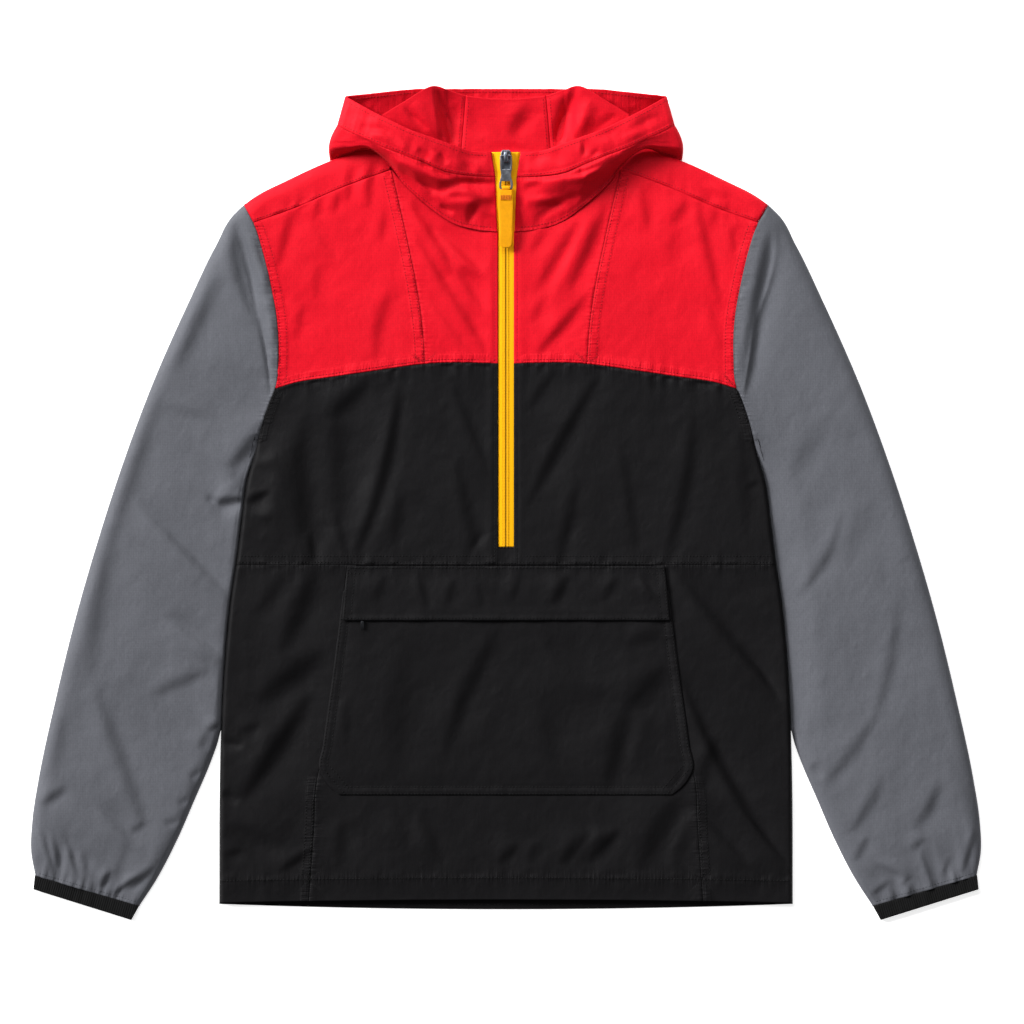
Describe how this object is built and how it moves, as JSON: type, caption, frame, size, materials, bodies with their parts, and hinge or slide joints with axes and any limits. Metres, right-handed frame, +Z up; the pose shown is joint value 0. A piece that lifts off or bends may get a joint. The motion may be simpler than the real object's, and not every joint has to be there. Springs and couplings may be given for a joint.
{
  "type": "anorak pullover",
  "caption": "Hooded half-zip pullover anorak in colour-blocked nylon, laid flat on its back, with long sleeves, elastic cuffs and a flapped kangaroo pocket.",
  "frame": {"origin": "centre of the laid-out garment's bounding box, on the surface that it lies on", "axes": "+X to the wearer's left, which is on the right as seen from above; +Y from the hem to the hood; +Z up from the surface, out of the garment's front"},
  "size_m": [0.9506, 0.8328, 0.0347],
  "materials": {
    "red_nylon": "plain-woven nylon with a soft sheen",
    "black_nylon": "plain-woven nylon with a soft sheen",
    "grey_nylon": "plain-woven nylon with a soft sheen",
    "black_elastic": "knitted elastic binding, matt",
    "yellow_zip": "woven polyester zip tape with a closed coil",
    "gunmetal": "gunmetal plated zinc, satin",
    "yellow_webbing": "woven webbing"
  },
  "bodies": {
    "garment": {"back_lower": "black_nylon", "back_yoke": "red_nylon", "cuff_left": "black_elastic", "cuff_right": "black_elastic", "front_chest": "black_nylon", "front_lower_centre": "black_nylon", "front_lower_side_left": "black_nylon", "front_lower_side_right": "black_nylon", "hood_back_band": "red_nylon", "hood_band_left": "red_nylon", "hood_band_right": "red_nylon", "hood_crown": "red_nylon", "hood_inner_centre": "red_nylon", "hood_inner_side_left": "red_nylon", "hood_inner_side_right": "red_nylon", "hood_side_left": "red_nylon", "hood_side_right": "red_nylon", "kangaroo_pocket": "black_nylon", "pocket_flap": "black_nylon", "pocket_zip_pull": "gunmetal", "sleeve_left": "grey_nylon", "sleeve_right": "grey_nylon", "yoke_centre_left": "red_nylon", "yoke_centre_right": "red_nylon", "yoke_side_left": "red_nylon", "yoke_side_right": "red_nylon", "zip_chain": "yellow_zip", "zip_slider": "gunmetal"},
    "pull": {"zip_pull": "gunmetal", "zip_pull_tab": "yellow_webbing"}
  },
  "joints": [
    {"name": "zip_pull_swing", "type": "hinge", "parent": "garment", "child": "pull", "pos_m": [0, 0.3452, 0.0244], "axis": [-1, 0, 0], "range_deg": [0, 170]}
  ]
}
